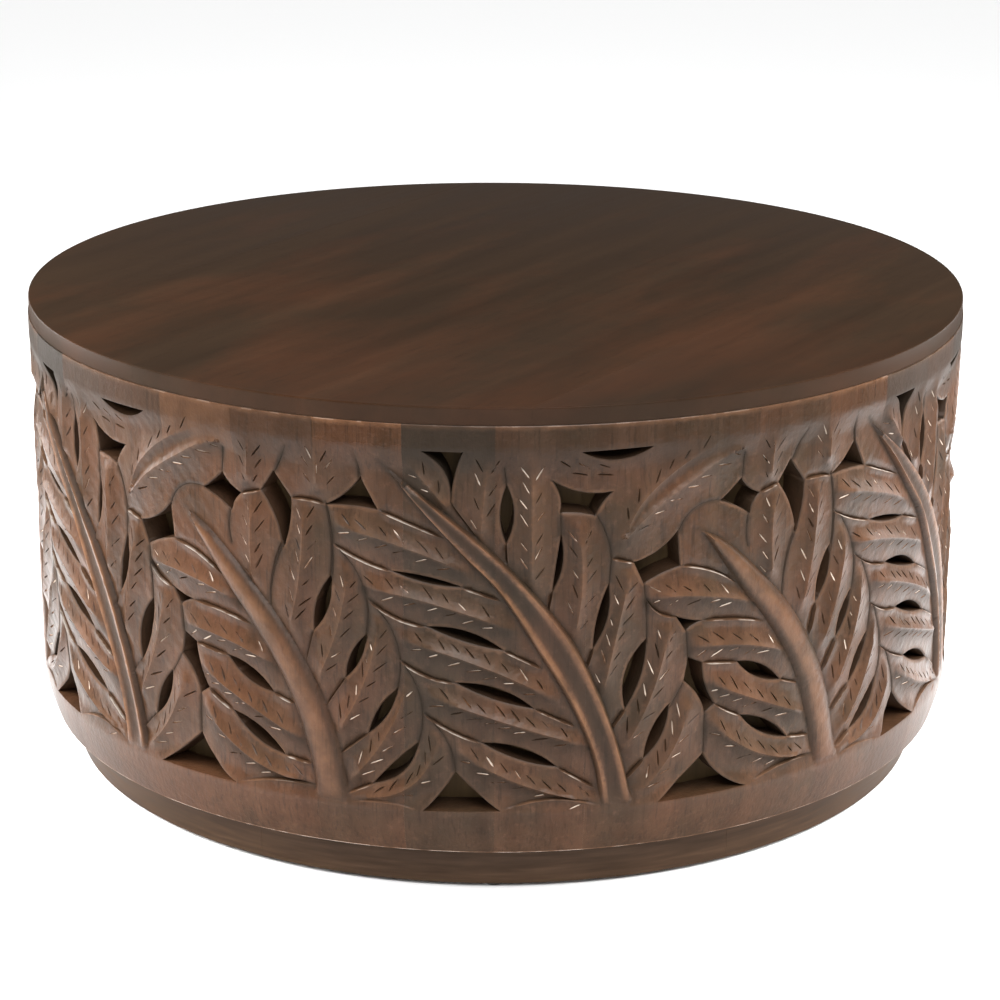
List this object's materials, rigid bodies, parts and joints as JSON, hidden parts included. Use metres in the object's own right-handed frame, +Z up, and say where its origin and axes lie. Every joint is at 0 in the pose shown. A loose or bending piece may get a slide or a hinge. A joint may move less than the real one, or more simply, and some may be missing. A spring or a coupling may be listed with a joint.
{
  "type": "round drum coffee table",
  "caption": "Round drum coffee table: a flat wooden disc on a coopered, lined wall carved and pierced with fern fronds, on a recessed plinth ring.",
  "frame": {"origin": "centre of the table on the floor, under the middle of the glides", "axes": "+Z up through the middle of the drum; -Y towards the side the picture shows"},
  "size_m": [0.914, 0.914, 0.457],
  "materials": {
    "top_wood": "dark walnut stain, satin lacquer",
    "drum_wood": "dark walnut stain, satin lacquer, rubbed lighter on the high edges of the carving",
    "plinth_wood": "dark stain, satin lacquer",
    "liner_wood": "plywood, thin brown stain, no lacquer",
    "inner_wood": "bare, sanded",
    "glide_felt": "dark felt"
  },
  "bodies": {
    "root": {"drum_stave_01": "drum_wood", "drum_stave_02": "drum_wood", "drum_stave_03": "drum_wood", "drum_stave_04": "drum_wood", "drum_stave_05": "drum_wood", "drum_stave_06": "drum_wood", "drum_stave_07": "drum_wood", "drum_stave_08": "drum_wood", "drum_stave_09": "drum_wood", "drum_stave_10": "drum_wood", "drum_stave_11": "drum_wood", "drum_stave_12": "drum_wood", "drum_stave_13": "drum_wood", "drum_stave_14": "drum_wood", "drum_stave_15": "drum_wood", "drum_stave_16": "drum_wood", "drum_stave_17": "drum_wood", "drum_stave_18": "drum_wood", "drum_stave_19": "drum_wood", "drum_stave_20": "drum_wood", "drum_stave_21": "drum_wood", "drum_stave_22": "drum_wood", "drum_stave_23": "drum_wood", "drum_stave_24": "drum_wood", "drum_stave_25": "drum_wood", "drum_stave_26": "drum_wood", "drum_stave_27": "drum_wood", "drum_stave_28": "drum_wood", "drum_stave_29": "drum_wood", "drum_stave_30": "drum_wood", "drum_stave_31": "drum_wood", "drum_stave_32": "drum_wood", "drum_stave_33": "drum_wood", "drum_stave_34": "drum_wood", "drum_stave_35": "drum_wood", "drum_stave_36": "drum_wood", "top_board_1": "top_wood", "top_board_2": "top_wood", "top_board_3": "top_wood", "top_board_4": "top_wood", "top_board_5": "top_wood", "plinth_segment_1": "plinth_wood", "plinth_segment_2": "plinth_wood", "plinth_segment_3": "plinth_wood", "plinth_segment_4": "plinth_wood", "plinth_segment_5": "plinth_wood", "plinth_segment_6": "plinth_wood", "liner_sheet_1": "liner_wood", "liner_sheet_2": "liner_wood", "top_batten_1": "inner_wood", "top_batten_2": "inner_wood", "glue_block_1": "inner_wood", "glue_block_2": "inner_wood", "glue_block_3": "inner_wood", "floor_glide_1": "glide_felt", "floor_glide_2": "glide_felt", "floor_glide_3": "glide_felt", "floor_glide_4": "glide_felt", "floor_glide_5": "glide_felt", "floor_glide_6": "glide_felt"}
  },
  "joints": []
}
